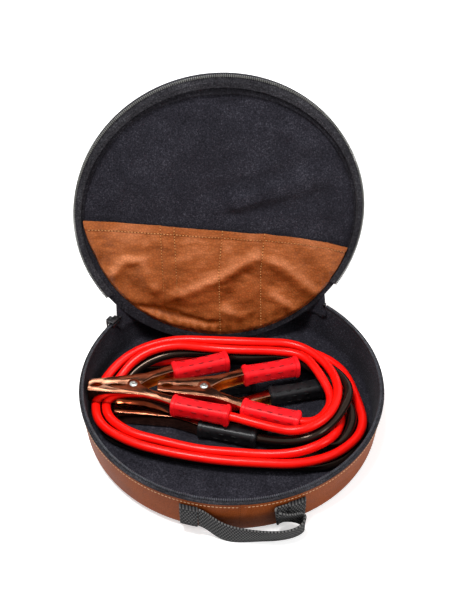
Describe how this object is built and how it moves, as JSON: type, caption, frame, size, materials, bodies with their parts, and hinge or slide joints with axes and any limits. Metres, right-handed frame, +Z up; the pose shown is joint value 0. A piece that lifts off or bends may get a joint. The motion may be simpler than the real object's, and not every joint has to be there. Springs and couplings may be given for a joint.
{
  "type": "jump leads in zip case",
  "caption": "Round zip case in leather with felt lining and lid pocket, open, holding two coiled jump leads whose spring clamps have sleeved handles.",
  "frame": {"origin": "middle of the case's flat underside, on the surface it stands on", "axes": "+Z up; -Y is the front, where the handle is; the lid is hinged at +Y"},
  "size_m": [0.3, 0.3382, 0.2976],
  "materials": {
    "case_leather": "semi-matt, fine grain",
    "pocket_leather": "semi-matt, fine grain",
    "felt": "matt felt",
    "fibreboard": "matt",
    "edging_cloth": "woven, matt",
    "zip_tape": "woven, matt",
    "zip_teeth": "satin",
    "zip_metal": "satin",
    "webbing": "ribbed webbing, matt",
    "red_cable": "glossy",
    "black_cable": "glossy",
    "copper": "plated, polished",
    "rivet_steel": "satin",
    "spring_steel": "satin",
    "red_grip": "satin",
    "black_grip": "satin"
  },
  "bodies": {
    "case": {"base_shell": "case_leather", "base_lining": "felt", "base_floor_board": "fibreboard", "base_zip_tape": "zip_tape", "base_zip_teeth": "zip_teeth", "zip_end_stops": "zip_metal", "handle_tab_left": "webbing", "handle_tab_right": "webbing", "handle_end_left": "webbing", "handle_end_right": "webbing", "hinge_gusset": "felt"},
    "lid": {"lid_shell": "case_leather", "lid_board": "fibreboard", "lid_lining": "felt", "lid_binding": "edging_cloth", "lid_zip_tape": "zip_tape", "lid_zip_teeth": "zip_teeth", "lid_pocket": "pocket_leather"},
    "zip_slider": {"zip_slider": "zip_metal"},
    "zip_pull": {"zip_pull": "zip_metal"},
    "handle": {"handle_strap": "webbing"},
    "red_left_handle": {"red_left_upper_jaw": "copper", "red_left_upper_grip": "red_grip"},
    "red_right_handle": {"red_right_upper_jaw": "copper", "red_right_upper_grip": "red_grip"},
    "black_left_handle": {"black_left_upper_jaw": "copper", "black_left_upper_grip": "black_grip"},
    "black_right_handle": {"black_right_upper_jaw": "copper", "black_right_upper_grip": "black_grip"},
    "leads": {"red_cable": "red_cable", "black_cable": "black_cable", "red_left_lower_jaw": "copper", "red_left_rivet": "rivet_steel", "red_left_spring": "spring_steel", "red_left_lower_grip": "red_grip", "red_right_lower_jaw": "copper", "red_right_rivet": "rivet_steel", "red_right_spring": "spring_steel", "red_right_lower_grip": "red_grip", "black_left_lower_jaw": "copper", "black_left_rivet": "rivet_steel", "black_left_spring": "spring_steel", "black_left_lower_grip": "black_grip", "black_right_lower_jaw": "copper", "black_right_rivet": "rivet_steel", "black_right_spring": "spring_steel", "black_right_lower_grip": "black_grip"}
  },
  "joints": [
    {"name": "lid_hinge", "type": "hinge", "parent": "case", "child": "lid", "pos_m": [0, 0.103, 0.053], "axis": [-1, 0, 0], "range_deg": [-103.3, 4], "deforming": ["hinge_gusset"]},
    {"name": "zip_slide", "type": "hinge", "parent": "case", "child": "zip_slider", "pos_m": [0, 0, 0.05], "axis": [0, 0, 1], "range_deg": [0, 257]},
    {"name": "pull_swing", "type": "hinge", "parent": "zip_slider", "child": "zip_pull", "pos_m": [-0.11817, 0.094, 0.0521], "axis": [0.6225, 0.7826, 0], "range_deg": [0, 80]},
    {"name": "handle_swing", "type": "hinge", "parent": "case", "child": "handle", "pos_m": [0, -0.1585, 0.024], "axis": [-1, 0, 0], "range_deg": [0, 100]},
    {"name": "leads_lift", "type": "slide", "parent": "case", "child": "leads", "axis": [0, 0, 1], "range_m": [0, 0.12]},
    {"name": "red_left_squeeze", "type": "hinge", "parent": "leads", "child": "red_left_handle", "pos_m": [-0.0975, 0.0085, 0.0352], "axis": [0, 0, -1], "range_deg": [0, 4.5], "stiffness_Nm_per_rad": 0.4, "springref_deg": -20.05},
    {"name": "red_right_squeeze", "type": "hinge", "parent": "leads", "child": "red_right_handle", "pos_m": [-0.0275, -0.0005, 0.0352], "axis": [0, 0, -1], "range_deg": [0, 4.5], "stiffness_Nm_per_rad": 0.4, "springref_deg": -20.05},
    {"name": "black_left_squeeze", "type": "hinge", "parent": "leads", "child": "black_left_handle", "pos_m": [-0.0715, -0.0045, 0.0152], "axis": [0, 0, -1], "range_deg": [0, 4.5], "stiffness_Nm_per_rad": 0.4, "springref_deg": -20.05},
    {"name": "black_right_squeeze", "type": "hinge", "parent": "leads", "child": "black_right_handle", "pos_m": [-0.0015, -0.0135, 0.0152], "axis": [0, 0, -1], "range_deg": [0, 4.5], "stiffness_Nm_per_rad": 0.4, "springref_deg": -20.05}
  ]
}
